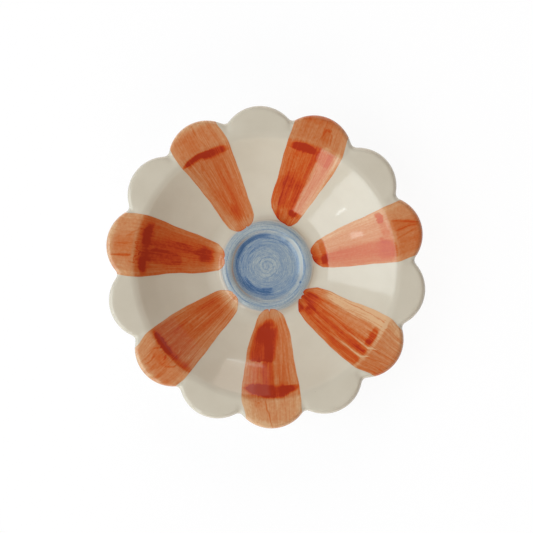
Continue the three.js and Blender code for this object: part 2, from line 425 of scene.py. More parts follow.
MID_WALL = 48
for name, petal in PETALS.items():
    mid_width = half_width(petal["left"], MID_WALL) + half_width(petal["right"], MID_WALL)
    print(name, "is", round(mid_width, 1), "mm wide on the middle of the wall")

# %% Lay the petals
PETAL_LIFT = 0.06 * MM
PETAL_COLUMNS = 64
PETAL_TURN = 2 * math.pi / len(PETALS)
LAST_ROW = line_length[-1] - 0.25 * MM
SETTLE_ROUNDS = 8


def tip_radius(petal, across):
    """Where the stroke ends towards the middle: leaning, rounded at its sides, split between strokes."""
    radius, lean, left, right = petal["tip"]
    radius += lean * across + (right if across > 0 else left) * across**4
    for place, depth, width in petal["splits"]:
        radius += depth * math.exp(-(((across - place) / width) ** 2))
    return radius


def on_the_clay(petal, direction, across, row):
    """A point of the pressed bowl this far across and along a stroke, its radius and half the width there.

    The width depends on the radius, and pressing the lobes changes the radius, so rounds settle both.
    """
    radius, height = on_upper_line(row, PETAL_LIFT)
    side = petal["right"] if across > 0 else petal["left"]
    plan = radius
    for settling in range(SETTLE_ROUNDS):
        slow_waver = 0.12 * math.sin(plan / MM * 0.35 + direction * 3)
        quick_waver = 0.05 * math.sin(plan / MM * 0.9 + direction)
        width = half_width(side, plan / MM) + (slow_waver + quick_waver) * abs(across)
        angle = direction - across * width * MM / plan
        spot = press_lobes(Vector((radius * math.cos(angle), radius * math.sin(angle), height)))
        plan = (plan + math.hypot(spot.x, spot.y)) / 2
    return spot, plan, width


def lay_petal(name, petal, direction):
    """One petal's film, laid on the clay in this direction."""
    first_row = length_at(petal["tip"][0] * MM)
    rows = [length for length in line_length if first_row < length < LAST_ROW]
    rows = [first_row] + rows + [LAST_ROW]
    shape = bmesh.new()
    stroke = shape.loops.layers.uv.new("stroke")
    edges = shape.loops.layers.uv.new("edges")
    bmesh.ops.create_grid(shape, x_segments=PETAL_COLUMNS, y_segments=len(rows) - 1, size=1.0)
    places, distances = {}, {}
    columns = [2 * i / PETAL_COLUMNS - 1 for i in range(PETAL_COLUMNS + 1)]
    tips = [length_at(tip_radius(petal, across) * MM) - first_row for across in columns]
    for point in shape.verts:
        across = point.co.x
        row = rows[round((point.co.y + 1) / 2 * (len(rows) - 1))]
        tip = tips[round((across + 1) / 2 * PETAL_COLUMNS)]
        left = (LAST_ROW - row) / (LAST_ROW - first_row)
        row += tip * left**4
        spot, plan, width = on_the_clay(petal, direction, across, row)
        places[point] = (0.5 + across / 2, plan / (RIM_RADIUS * MM))
        distances[point] = ((row - first_row - tip) / MM, (1 - abs(across)) * width)
        point.co = spot
    for face in shape.faces:
        for corner in face.loops:
            corner[stroke].uv = places[corner.vert]
            corner[edges].uv = distances[corner.vert]
    bmesh.ops.recalc_face_normals(shape, faces=shape.faces[:])
    if sum(face.normal.z for face in shape.faces) < 0:
        bmesh.ops.reverse_faces(shape, faces=shape.faces[:])
    bmesh.ops.solidify(shape, geom=shape.faces[:], thickness=PETAL_LIFT + FILM_BED)
    return finished_piece(name.replace("orange_petal", "brushed_petal"), shape)


petal_pieces = {}
for count, (name, petal) in enumerate(PETALS.items()):
    petal_pieces[name] = lay_petal(name, petal, FRONT + count * PETAL_TURN)

# %% [markdown]
# ## Short ways to wire nodes
# A finish is a sum of simple effects, and written out socket by socket it is hard to read. This small
# helper adds a node, joins what it is given to the node's inputs and hands back its output, so that a
# formula can be read from left to right. Effects that several finishes share become node groups.

# %% A bench for wiring nodes


class Bench:
    """A node tree with short ways to add nodes and join them."""

    def __init__(self, tree):
        self.tree = tree

    def node(self, kind, **settings):
        """A new node with these settings."""
        node = self.tree.nodes.new("ShaderNode" + kind)
        for name, value in settings.items():
            setattr(node, name, value)
        return node

    def join(self, socket, value):
        """Feeds a socket from another socket, or sets it to a plain value."""
        if isinstance(value, bpy.types.NodeSocket):
            self.tree.links.new(value, socket)
        else:
            socket.default_value = value

    def math(self, operation, *values, clamp=False):
        """One step of arithmetic."""
        node = self.node("Math", operation=operation, use_clamp=clamp)
        for socket, value in zip(node.inputs, values):
            self.join(socket, value)
        return node.outputs[0]

    def rise(self, value, low, high):
        """0 below low, 1 above high, and a smooth rise between."""
        node = self.node("MapRange", interpolation_type="SMOOTHSTEP")
        for name, given in zip(("Value", "From Min", "From Max"), (value, low, high)):
            self.join(node.inputs[name], given)
        return node.outputs[0]

    def vector(self, x, y, z):
        """Three numbers as one vector."""
        node = self.node("CombineXYZ")
        for socket, value in zip(node.inputs, (x, y, z)):
            self.join(socket, value)
        return node.outputs[0]

    def parts(self, vector):
        """The three numbers of a vector."""
        node = self.node("SeparateXYZ")
        self.join(node.inputs[0], vector)
        return node.outputs

    def from_axis(self, place):
        """A place's x and y and its distance from the bowl's axis, in millimetres."""
        x, y = [self.math("DIVIDE", part, MM) for part in self.parts(place)[:2]]
        squares = self.math("ADD", self.math("MULTIPLY", x, x), self.math("MULTIPLY", y, y))
        return x, y, self.math("SQRT", squares)

    def noise(self, vector, scale, detail, roughness):
        """Cloudy values round one half."""
        node = self.node("TexNoise")
        names = ("Vector", "Scale", "Detail", "Roughness")
        for name, value in zip(names, (vector, scale, detail, roughness)):
            self.join(node.inputs[name], value)
        return node.outputs[0]

    def stroke_noise(self, stroke, waves, seed, detail, roughness):
        """Noise with so many waves across a stroke and along it, centred on zero."""
        spot = [self.math("MULTIPLY", part, count) for part, count in zip(stroke, waves)]
        cloudy = self.noise(self.vector(*spot, seed), 1.0, detail, roughness)
        return self.math("SUBTRACT", cloudy, 0.5)

    def blend(self, share, first, second, kind="MIX"):
        """The second colour over the first."""
        node = self.node("Mix", data_type="RGBA", blend_type=kind)
        for index, value in ((0, share), (6, first), (7, second)):
            self.join(node.inputs[index], value)
        return node.outputs[2]

    def tones(self, value, stops):
        """Colours read off a ramp."""
        node = self.node("ValToRGB")
        band = node.color_ramp
        while len(band.elements) < len(stops):
            band.elements.new(0.5)
        for element, (place, colour) in zip(band.elements, stops):
            element.position = place
            element.color = (*colour, 1)
        self.join(node.inputs[0], value)
        return node.outputs[0]

    def bump(self, shader, height, strength, distance):
        """Raises the shader's surface by this height."""
        node = self.node("Bump")
        node.inputs["Strength"].default_value = strength
        node.inputs["Distance"].default_value = distance
        self.join(node.inputs["Height"], height)
        self.join(shader.inputs["Normal"], node.outputs[0])

    def use(self, group, **values):
        """A node group placed here, with its inputs joined by name."""
        node = self.node("Group", node_tree=group)
        for name, value in values.items():
            self.join(node.inputs[name.replace("_", " ").capitalize()], value)
        return node.outputs


def new_group(name, inputs, outputs):
    """An empty shader node group: its bench, and its inputs and outputs by name."""
    group = bpy.data.node_groups.new(name, "ShaderNodeTree")
    for socket, kind in inputs:
        group.interface.new_socket(socket, in_out="INPUT", socket_type="NodeSocket" + kind)
    for socket, kind in outputs:
        group.interface.new_socket(socket, in_out="OUTPUT", socket_type="NodeSocket" + kind)
    enter = group.nodes.new("NodeGroupInput")
    leave = group.nodes.new("NodeGroupOutput")
    return group, Bench(group), enter.outputs, leave.inputs


print("ways to add nodes:", [way for way in vars(Bench) if not way.startswith("_")])

# %% [markdown]
# ## The clear glaze
# One clear, glossy glaze lies over clay and colour alike, so its small faults are shared by all of them:
# it is a little wavy, it runs thin and thick in soft clouds, and here and there a pinhole or a dark speck
# shows. Inside the bowl everything is also painted a little paler than on the lip: painted light. One
# group makes these from Object coordinates, so that they run on unbroken from piece to piece.

# %% Group for the glaze
WAVE_SCALE = 55
RIPPLE_SCALE = 420
RIPPLE_SHARE = 0.08
CLOUD_SCALE = 90
SPECK_SCALE = 260
SPECK_CHANCE = 0.07
SPECK_REACH = (0.02, 0.06)
GLOSS_SCALE = 160
GLOSS_RANGE = (0.3, 0.7)
INSIDE_REACH = (57, 55)
glaze_group, bench, given, result = new_group(
    "clear glaze",
    [("Place", "Vector")],
    [("Height", "Float"), ("Cloud", "Float"), ("Specks", "Float"), ("Gloss", "Float"), ("Depth", "Float")],
)
place = given["Place"]
waves = bench.noise(place, WAVE_SCALE, 2, 0.5)
ripples = bench.noise(place, RIPPLE_SCALE, 2, 0.6)
bench.join(result["Height"], bench.math("MULTIPLY_ADD", ripples, RIPPLE_SHARE, waves))
bench.join(result["Cloud"], bench.noise(place, CLOUD_SCALE, 4, 0.55))
dots = bench.node("TexVoronoi", feature="F1")
bench.join(dots.inputs["Vector"], place)
bench.join(dots.inputs["Scale"], SPECK_SCALE)
chosen = bench.math("GREATER_THAN", bench.parts(dots.outputs["Color"])[0], 1 - SPECK_CHANCE)
near = bench.math("SUBTRACT", 1, bench.rise(dots.outputs["Distance"], *SPECK_REACH))
bench.join(result["Specks"], bench.math("MULTIPLY", chosen, near))
bench.join(result["Gloss"], bench.rise(bench.noise(place, GLOSS_SCALE, 3, 0.6), *GLOSS_RANGE))
# Painted light: this output is 1 inside the bowl, where every colour is painted lighter.
bench.join(result["Depth"], bench.rise(bench.from_axis(place)[2], *INSIDE_REACH))
print("glaze group:", len(glaze_group.nodes), "nodes")

# %% A finish under the glaze
GLAZE_ROUGHNESS = (0.05, 0.11)
GLAZE_IOR = 1.68
WAVE_STRENGTH = 0.35
WAVE_HEIGHT = 0.5 * MM
PAINTED_LIGHT_INSIDE = 0.09
SPECK_COLOUR = (0.16, 0.1, 0.06, 1)
SPECK_STRENGTH = 0.35


def new_finish(name):
    """A material with one Principled shader, its bench and its Object coordinates."""
    material = bpy.data.materials.new(name)
    material.use_nodes = True
    bench = Bench(material.node_tree)
    shader = material.node_tree.nodes["Principled BSDF"]
    place = bench.node("TexCoord").outputs["Object"]
    return material, bench, shader, place


def glaze_over(bench, shader, place, colour):
    """Finishes a shader with the clear glaze: gloss, waves, specks and painted light inside, over this
    colour.
    """
    glaze = bench.use(glaze_group, place=place)
    # Painted light: the colour is made lighter inside the bowl.
    painted_lighter = bench.math("MULTIPLY_ADD", glaze["Depth"], PAINTED_LIGHT_INSIDE, 1.0)
    colour = bench.blend(1.0, colour, bench.vector(painted_lighter, painted_lighter, painted_lighter), "MULTIPLY")
    speck = bench.math("MULTIPLY", glaze["Specks"], SPECK_STRENGTH)
    bench.join(shader.inputs["Base Color"], bench.blend(speck, colour, SPECK_COLOUR))
    shader.inputs["IOR"].default_value = GLAZE_IOR
    low, high = GLAZE_ROUGHNESS
    bench.join(shader.inputs["Roughness"], bench.math("MULTIPLY_ADD", glaze["Gloss"], high - low, low))
    bench.bump(shader, glaze["Height"], WAVE_STRENGTH, WAVE_HEIGHT)


print("glaze roughness:", GLAZE_ROUGHNESS)

# %% [markdown]
# ## Cream glaze over clay
# The bare body is a warm cream. It isn't one flat colour: soft clouds run through it, and round the foot
# of the ring a browner, darker band is painted on as painted shade. That place is known by its distance
# from the axis, so the finish measures it from Object coordinates.

# %% Material of the body
CREAM_TONES = [(0.3, (0.54, 0.498, 0.397)), (0.7, (0.568, 0.529, 0.427))]
RING_FOOT_SHADE_COLOUR = (0.47, 0.41, 0.31, 1)
RING_FOOT_SHADE_STRENGTH = 0.3
RING_FOOT_SHADE_STARTS = (18.5, 20.8)
RING_FOOT_SHADE_ENDS = (21.2, 23.5)
cream, bench, shader, place = new_finish("cream glaze")
out = bench.from_axis(place)[2]
tone = bench.tones(bench.use(glaze_group, place=place)["Cloud"], CREAM_TONES)
# Painted shade: a browner, darker band round the foot of the raised ring.
before_end = bench.math("SUBTRACT", 1, bench.rise(out, *RING_FOOT_SHADE_ENDS))
ring_foot_shade = bench.math("MULTIPLY", bench.rise(out, *RING_FOOT_SHADE_STARTS), before_end)
tone = bench.blend(bench.math("MULTIPLY", ring_foot_shade, RING_FOOT_SHADE_STRENGTH), tone, RING_FOOT_SHADE_COLOUR)
glaze_over(bench, shader, place, tone)
bowl_body.data.materials.append(cream)
print("cream glaze:", len(cream.node_tree.nodes), "nodes")

# %% [markdown]
# ## Bare clay of the foot
# The foot was wiped before firing. Its clay is buff, dry and open, with fine grit, so it is rough and its
# bump comes from two sizes of grain.

# %% Material of the foot
CLAY_TONES = [(0.3, (0.42, 0.32, 0.21)), (0.7, (0.55, 0.45, 0.33))]
CLAY_ROUGHNESS = (0.72, 0.92)
GRAIN_SCALE = 900
PATCH_SCALE = 140
GRIT_SCALE = 1600
GRIT_RANGE = (0.62, 0.7)
GRIT_COLOUR = (0.24, 0.16, 0.1, 1)
TOOTH_STRENGTH = 0.6
TOOTH_HEIGHT = 0.2 * MM
clay, bench, shader, place = new_finish("bare clay")
grain = bench.noise(place, GRAIN_SCALE, 4, 0.65)
patches = bench.noise(place, PATCH_SCALE, 3, 0.55)
grit = bench.rise(bench.noise(place, GRIT_SCALE, 2, 0.5), *GRIT_RANGE)
tone = bench.blend(bench.math("MULTIPLY", grit, 0.5), bench.tones(patches, CLAY_TONES), GRIT_COLOUR)
bench.join(shader.inputs["Base Color"], tone)
low, high = CLAY_ROUGHNESS
bench.join(shader.inputs["Roughness"], bench.math("MULTIPLY_ADD", grain, high - low, low))
bench.bump(shader, bench.math("MULTIPLY_ADD", patches, 0.5, grain), TOOTH_STRENGTH, TOOTH_HEIGHT)
foot.data.materials.append(clay)
print("bare clay:", len(clay.node_tree.nodes), "nodes")

# %% [markdown]
# ## Banded blue
# The blue was put on with a soft brush while the bowl turned, so every mark is a piece of a circle: a
# spiral near the middle, arcs that start and stop, and a paler band over the ring where the glaze thins
# the colour. Noise that is stretched round the axis gives the arcs, and it is read on a circle so that it
# has no seam.

# %% Tones, thickness and arcs of the blue
BLUE_TONES = [
    (0.0, (0.4, 0.45, 0.44)),
    (0.25, (0.31, 0.365, 0.375)),
    (0.5, (0.19, 0.265, 0.345)),
    (0.75, (0.1, 0.175, 0.295)),
    (1.0, (0.055, 0.115, 0.23)),
]
BLUE_BY_RADIUS = [
    (0.0, 0.26),
    (4.0, 0.28),
    (6.5, 0.42),
    (12.0, 0.48),
    (14.0, 0.54),
    (15.2, 0.3),
    (20.6, 0.2),
]
BLUE_ARCS = [  # strength, radius and half width in millimetres, middle and reach in degrees
    (0.3, 17.8, 0.35, 240, 95),
    (0.3, 16.6, 0.5, 350, 60),
    (0.22, 18.6, 0.3, 55, 50),
    (0.18, 16.3, 0.25, 100, 55),
    (0.5, 13.6, 1.1, 122, 36),
    (0.28, 12.8, 1.4, 185, 42),
    (0.2, 11.3, 0.35, 150, 28),
    (0.18, 10.6, 0.3, 205, 30),
    (0.14, 9.4, 0.3, 118, 24),
    (0.45, 11.6, 1.6, 243, 38),
    (0.45, 10.2, 0.8, 268, 13),
    (0.25, 12.4, 0.5, 68, 24),
    (0.1, 9.0, 1.5, 140, 60),
    (-0.05, 11.0, 2.2, 15, 50),
    # The pale arc below, on the right flank of the well, is a painted highlight over thinner glaze.
    (-0.6, 15.5, 0.9, 15, 34),
    (0.5, 16.2, 0.5, 332, 2),
]
print("blue arcs:", len(BLUE_ARCS))

# %% Noise that runs round the axis
blue, bench, shader, place = new_finish("banded blue")
x, y, out = bench.from_axis(place)
turn = bench.math("ARCTAN2", y, x)
side_x = bench.math("COSINE", turn)
side_y = bench.math("SINE", turn)


def ring_noise(steps_out, scale, detail, roughness):
    """Noise drawn out round the axis, centred on zero."""
    spot = bench.vector(side_x, side_y, bench.math("MULTIPLY", out, steps_out))
    return bench.math("SUBTRACT", bench.noise(spot, scale, detail, roughness), 0.5)


arcs_wide = ring_noise(0.55, 1.6, 2, 0.5)
arcs_fine = ring_noise(2.6, 2.4, 3, 0.6)
grainy = bench.math("SUBTRACT", bench.noise(place, 1500, 3, 0.6), 0.5)
print("noise for the blue:", len(blue.node_tree.nodes), "nodes")

# %% Add up the thickness of the blue
WIDE_SHARE = 0.35
FINE_SHARE = 1.3
GRAINY_SHARE = 0.55
ARC_SHAKE = 1.2
ARC_STREAKS = 3.2
ARC_SOFTNESS = 1.3
ARC_FADE = (1.25, 0.6)
SPIRAL_PITCH = 1.8
SPIRAL_SHARE = 0.2
SPIRAL_REACH = (6.5, 3.5)
SPIRAL_LINE = (0.25, 0.05)
grounds = [(radius / BLUE_RADIUS, (share, share, share)) for radius, share in BLUE_BY_RADIUS]
load = bench.tones(bench.math("DIVIDE", out, BLUE_RADIUS), grounds)
load = bench.math("MULTIPLY_ADD", arcs_wide, WIDE_SHARE, load)
load = bench.math("MULTIPLY_ADD", arcs_fine, FINE_SHARE, load)
load = bench.math("MULTIPLY_ADD", grainy, GRAINY_SHARE, load)
shaken = bench.math("MULTIPLY_ADD", arcs_wide, ARC_SHAKE, out)
streaky = bench.math("MULTIPLY_ADD", arcs_fine, ARC_STREAKS, 1.0)
for strength, radius, half, middle, reach in BLUE_ARCS:
    off = bench.math("ABSOLUTE", bench.math("SUBTRACT", shaken, radius))
    across = bench.rise(off, half * ARC_SOFTNESS, 0.0)
    facing = bench.math("MULTIPLY", side_x, math.cos(math.radians(middle)))
    facing = bench.math("MULTIPLY_ADD", side_y, math.sin(math.radians(middle)), facing)
    along = bench.rise(facing, *[math.cos(math.radians(reach * fade)) for fade in ARC_FADE])
    arc = bench.math("MULTIPLY", bench.math("MULTIPLY", across, along), streaky)
    load = bench.math("MULTIPLY_ADD", arc, strength, load)
turns = bench.math("DIVIDE", turn, 2 * math.pi)
coil = bench.math("ADD", bench.math("DIVIDE", shaken, SPIRAL_PITCH), turns)
coil = bench.math("ABSOLUTE", bench.math("SUBTRACT", bench.math("FRACT", coil), 0.5))
coil = bench.math("MULTIPLY", bench.rise(coil, *SPIRAL_LINE), bench.rise(out, *SPIRAL_REACH))
load = bench.math("MULTIPLY_ADD", coil, SPIRAL_SHARE, load)
print("thickness of the blue:", len(blue.node_tree.nodes), "nodes")

# %% Wear, painted shade and glaze of the blue
WORN_SHADE_STARTS = (14.7, 15.1)
WORN_SHADE_ENDS = (15.7, 15.3)
WORN_SHADE_LEFT = (-0.35, -0.75)
WORN_SHADE_COLOUR = (0.34, 0.25, 0.18, 1)
WORN_SHADE_STRENGTH = 0.6
THIN_SHAKE = 0.8
THIN_EDGE = (19.4, 20.6)
THIN_COLOUR = (0.53, 0.49, 0.41, 1)
tone = bench.tones(load, BLUE_TONES)
# A brown line on the left of the well's edge: worn glaze where it breaks over the edge, darkened further as
# painted shade on the side where the edge's shadow falls.
worn_shade = bench.math("MULTIPLY", bench.rise(out, *WORN_SHADE_STARTS), bench.rise(out, *WORN_SHADE_ENDS))
worn_shade = bench.math("MULTIPLY", worn_shade, bench.rise(side_x, *WORN_SHADE_LEFT))
tone = bench.blend(bench.math("MULTIPLY", worn_shade, WORN_SHADE_STRENGTH), tone, WORN_SHADE_COLOUR)
thin = bench.rise(bench.math("MULTIPLY_ADD", arcs_wide, THIN_SHAKE, out), *THIN_EDGE)
tone = bench.blend(thin, tone, THIN_COLOUR)
glaze_over(bench, shader, place, tone)
blue_middle.data.materials.append(blue)
print("banded blue:", len(blue.node_tree.nodes), "nodes")

# %% [markdown]
# ## Brushed orange
# The orange is one colour in different thickness: thin it is a pale terracotta, thick it is a deep red.
# So each petal's finish adds up how much colour lies in a place and reads the tone off one ramp. Bristles
# leave lengthwise streaks, and where a stroke was laid over another, or pooled behind the ridge, there is
# more. All of this is told in the stroke's own UV map, because the streaks follow the brush and not the
# bowl.

# %% Group for the bristle streaks
streak_group, bench, given, result = new_group(
    "bristle streaks",
    [("Stroke", "Vector"), ("Seed", "Float")],
    [("Broad", "Float"), ("Fine", "Float"), ("Grain", "Float")],
)
stroke = bench.parts(given["Stroke"])[:2]


def streak_noise(waves, detail, shift):
    """Streaks with so many waves across the stroke and along it."""
    return bench.stroke_noise(stroke, waves, bench.math("ADD", given["Seed"], shift), detail, 0.55)


bench.join(result["Broad"], streak_noise((7, 2.2), 2, 0.0))
fine = bench.math("ADD", streak_noise((26, 3.5), 2, 7.3), streak_noise((60, 7), 1, 3.1))
bench.join(result["Fine"], fine)
bench.join(result["Grain"], streak_noise((24, 60), 3, 5.7))
print("streak group:", len(streak_group.nodes), "nodes")

# %% Group for one mark of the brush
MARK_VALUES = [
    "Seed",
    "Inner",
    "Outer",
    "Inner middle",
    "Outer middle",
    "Inner half",
    "Outer half",
    "Side soft",
    "Inner soft",
    "Outer soft",
    "Bow",
    "Waver",
    "Taper",
]
mark_group, bench, given, result = new_group(
    "mark of the brush",
    [("Stroke", "Vector"), *[(value, "Float") for value in MARK_VALUES]],
    [("Mask", "Float")],
)
across, along = bench.parts(given["Stroke"])[:2]
across = bench.math("MULTIPLY_ADD", across, 2, -1)
out = bench.math("MULTIPLY", along, RIM_RADIUS)
span = bench.math("SUBTRACT", given["Outer"], given["Inner"])
share = bench.math("DIVIDE", bench.math("SUBTRACT", out, given["Inner"]), span, clamp=True)


def between_ends(kind):
    """A value that runs from the mark's inner end to its outer end."""
    first = given["Inner " + kind]
    change = bench.math("SUBTRACT", given["Outer " + kind], first)
    return bench.math("MULTIPLY_ADD", share, change, first)


print("mark group:", len(MARK_VALUES), "values")

# %% Sides of a mark
SHAKE_WAVES = (4, 14)
SHAKE_ACROSS = 0.12
TAPER_POWER = 4
shake = bench.stroke_noise((across, along), SHAKE_WAVES, given["Seed"], 2, 0.5)
shake = bench.math("MULTIPLY", shake, given["Waver"])
off = bench.math("SUBTRACT", across, between_ends("middle"))
distance = bench.math("ABSOLUTE", bench.math("MULTIPLY_ADD", shake, SHAKE_ACROSS, off))
from_middle = bench.math("MULTIPLY_ADD", share, 2, -1)
taper = bench.math("POWER", bench.math("ABSOLUTE", from_middle), TAPER_POWER)
taper = bench.math("SUBTRACT", 1, bench.math("MULTIPLY", taper, given["Taper"]))
half = bench.math("MULTIPLY", between_ends("half"), taper)
soft = given["Side soft"]
side = bench.rise(distance, bench.math("ADD", half, soft), bench.math("SUBTRACT", half, soft))
print("sides of a mark:", len(mark_group.nodes), "nodes")

# %% Ends of a mark
SHAKE_ALONG = 2.5
FRAY_WAVES = (9, 2.5)
FRAY_ALONG = 2.0
fray = bench.stroke_noise((across, along), FRAY_WAVES, given["Seed"], 2, 0.6)
fray = bench.math("MULTIPLY", fray, given["Waver"])
bowed = bench.math("MULTIPLY_ADD", bench.math("MULTIPLY", off, off), given["Bow"], out)
bowed = bench.math("MULTIPLY_ADD", shake, SHAKE_ALONG, bowed)
bowed = bench.math("MULTIPLY_ADD", fray, FRAY_ALONG, bowed)
inner = bench.rise(
    bowed,
    bench.math("SUBTRACT", given["Inner"], given["Inner soft"]),
    bench.math("ADD", given["Inner"], given["Inner soft"]),
)
outer = bench.rise(
    bowed,
    bench.math("ADD", given["Outer"], given["Outer soft"]),
    bench.math("SUBTRACT", given["Outer"], given["Outer soft"]),
)
bench.join(result["Mask"], bench.math("MULTIPLY", side, bench.math("MULTIPLY", inner, outer)))
print("mark group:", len(mark_group.nodes), "nodes")

# %% Tones of the orange, thin to thick
ORANGE_TONES = [
    (0.0, (0.6, 0.37, 0.2)),
    (0.15, (0.55, 0.275, 0.126)),
    (0.3, (0.525, 0.215, 0.088)),
    (0.45, (0.505, 0.167, 0.056)),
    (0.6, (0.49, 0.122, 0.03)),
    (0.75, (0.475, 0.08, 0.013)),
    (0.9, (0.44, 0.05, 0.0105)),
    (1.0, (0.34, 0.028, 0.0075)),
]
print("tones of the orange:", len(ORANGE_TONES))

# %% [markdown]
# The marks below are listed one line for each stroke, drop or drip that can be told apart on a
# petal. A mark adds colour, or wipes some away where its strength is below zero. Radii are in
# millimetres, and places across the petal run from -1 at its left side to 1 at its right. A value that
# differs between the inner and the outer end of a mark is given as a pair.

# %% Ground of each petal, and what a mark is
GROUND = {  # colour on the outer edge, lip, wall and tip, streaks, and how pale the crest is, from bare paint and a painted highlight
    "orange_petal_1": (-0.12, 0.22, 0.5, 0.28, 0.9, 0.03),
    "orange_petal_2": (0.02, 0.4, 0.6, 0.68, 1.1, 0.22),
    "orange_petal_3": (0.05, 0.38, 0.28, 0.75, 0.5, 0.06),
    "orange_petal_4": (0.02, 0.45, 0.73, 0.8, 0.9, 0.1),
    "orange_petal_5": (-0.27, 0.38, 0.5, 0.36, 1.0, 0.03),
    "orange_petal_6": (-0.25, 0.35, 0.72, 0.32, 0.6, 0.06),
    "orange_petal_7": (-0.32, 0.42, 0.6, 0.15, 1.0, 0.02),
}


def both_ends(value):
    """A value for the inner and one for the outer end, from a pair or from one number."""
    return value if isinstance(value, tuple) else (value, value)


def mark(strength, inner, outer, middle, half, side=0.08, ends=1.0, bow=0.0, waver=1.0, taper=0.4):
    """One mark: its strength, and its reach, middle, half width and soft edges for the mark group."""
    values = {"inner": inner, "outer": outer, "side_soft": side, "bow": bow, "waver": waver, "taper": taper}
    for kind, value in (("middle", middle), ("half", half), ("soft", ends)):
        values["inner_" + kind], values["outer_" + kind] = both_ends(value)
    return strength, values


print("petals with a ground:", len(GROUND))

# %% Petal 1, front: a second dark stroke on its right and a pool behind the ridge
MARKS = {}
MARKS["orange_petal_1"] = [
    mark(0.3, 57.5, 69.5, (0.23, 0.02), (0.03, 0.02), 0.02, 0.5),
    mark(0.2, 57.2, 58.4, 0.42, (0.14, 0.1), 0.05, 0.3, 0, 3),
    mark(0.12, 57.2, 61, 0.45, (0.18, 0.14), 0.06, (0.4, 1)),
    mark(0.56, 51.9, 56.3, -0.05, (0.95, 0.9), 0.2, (1.2, 0.8), 2.5, 0.4, 0.5),
    mark(0.55, 51, 54, 0.5, (0.36, 0.34), 0.14, 0.8),
    mark(0.2, 55.5, 57, -0.1, (0.45, 0.4), 0.15, (0.5, 0.4), 3, 2),
    mark(0.34, 41, 53, 0.12, (0.24, 0.22), 0.1, (0.6, 1.5)),
    mark(0.1, 43, 51, 0.6, 0.35, 0.12, 1),
    mark(0.46, 27, 41.8, (0.2, 0.38), (0.66, 0.52), 0.14, (1.5, 0.3), 0.6, 0.8, 0.05),
    mark(0.12, 26.5, 34, (0.35, 0.3), (0.45, 0.4), 0.2, (2, 3)),
    mark(0.1, 32, 41, 0.05, 0.2, 0.15, (2, 1)),
    mark(0.35, 23.4, 27, (0.05, 0.08), (0.3, 0.42), 0.12, 0.8),
    mark(0.14, 30, 51, (-0.6, -0.5), 0.03, 0.03, (4, 2)),
    mark(0.12, 36, 52, (-0.75, -0.7), (0.03, 0.02), 0.03, (4, 2)),
    mark(-0.1, 57.5, 68, 0.8, (0.22, 0.2), 0.14),
    mark(-0.14, 65.5, 70, (0.5, 0.45), (0.25, 0.2), 0.12),
    mark(0.12, 24.5, 28.5, 0.3, 0.4, 0.15),
]
print("marks on petal 1:", len(MARKS["orange_petal_1"]))

# %% Petal 2, front right: a pale left side and bare folds over the ridge
MARKS["orange_petal_2"] = [
    mark(-0.5, 29, 57.5, (-0.88, -0.84), 0.34, 0.18, (3, 1), 0, 2, 0.1),
    mark(-0.14, 27, 57, (-0.5, -0.45), (0.42, 0.4), 0.1, (3, 1)),
    mark(0.25, 35, 57, (-0.9, -0.78), 0.02, 0.02, (3, 0.5)),
    mark(0.42, 53.5, 56.3, -0.2, (0.34, 0.3), 0.1, (0.8, 0.4), 1, 0.4),
    mark(0.05, 24, 52, 0.3, (0.4, 0.35), 0.12, (2, 4)),
    mark(0.14, 30, 56, 0.36, 0.14, 0.05, (5, 0.5)),
    mark(0.26, 40, 57, (0.8, 0.78), (0.15, 0.17), 0.05, (6, 0.5)),
    mark(0.14, 23, 41, 0.8, 0.3, 0.12, (1, 4)),
    mark(0.22, 24, 50, (0.05, 0.12), (0.04, 0.03), 0.04, (3, 5)),
    mark(-0.42, 47, 56.5, (0.17, 0.18), (0.02, 0.03), 0.03, (4, 0.3), 0, 0.5, 0),
    mark(-0.5, 56, 59.5, (0.18, 0.05), (0.035, 0.02), 0.03, (0.3, 0.8), 0, 0.5, 0),
    mark(-0.55, 46, 56.5, 0.57, (0.02, 0.03), 0.03, (4, 0.3), 0, 0.5, 0),
    mark(-0.5, 56, 59, (0.57, 0.4), (0.035, 0.02), 0.03, (0.3, 0.8), 0, 0.5, 0),
    mark(-0.3, 54, 58.6, (-0.76, -0.62), (0.04, 0.03), 0.03, (1, 0.6)),
    mark(-0.16, 57.5, 71, (-0.8, -0.75), 0.3, 0.14),
    mark(0.12, 57.5, 70, (0.8, 0.78), 0.25, 0.1),
    mark(0.2, 57, 69, (0.14, 0.0), 0.02, 0.02, (0.5, 1)),
    mark(0.18, 57.5, 68, (0.5, 0.28), 0.02, 0.02, (0.5, 1)),
    mark(0.2, 57.5, 69, (0.93, 0.85), (0.03, 0.06), 0.04, (0.5, 1)),
    mark(0.28, 21.5, 37, (-0.3, -0.45), (0.07, 0.03), 0.05, (1.5, 5)),
    mark(0.22, 21, 27, 0.1, (0.55, 0.6), 0.2, (0.8, 2.5)),
    mark(0.2, 25, 29, (0.5, 0.45), 0.25, 0.12, (1, 1.5)),
    mark(-0.14, 21, 24.6, 0.45, 0.16, 0.1),
    mark(0.3, 20.5, 25, 0.85, (0.22, 0.2), 0.1),
]
print("marks on petal 2:", len(MARKS["orange_petal_2"]))

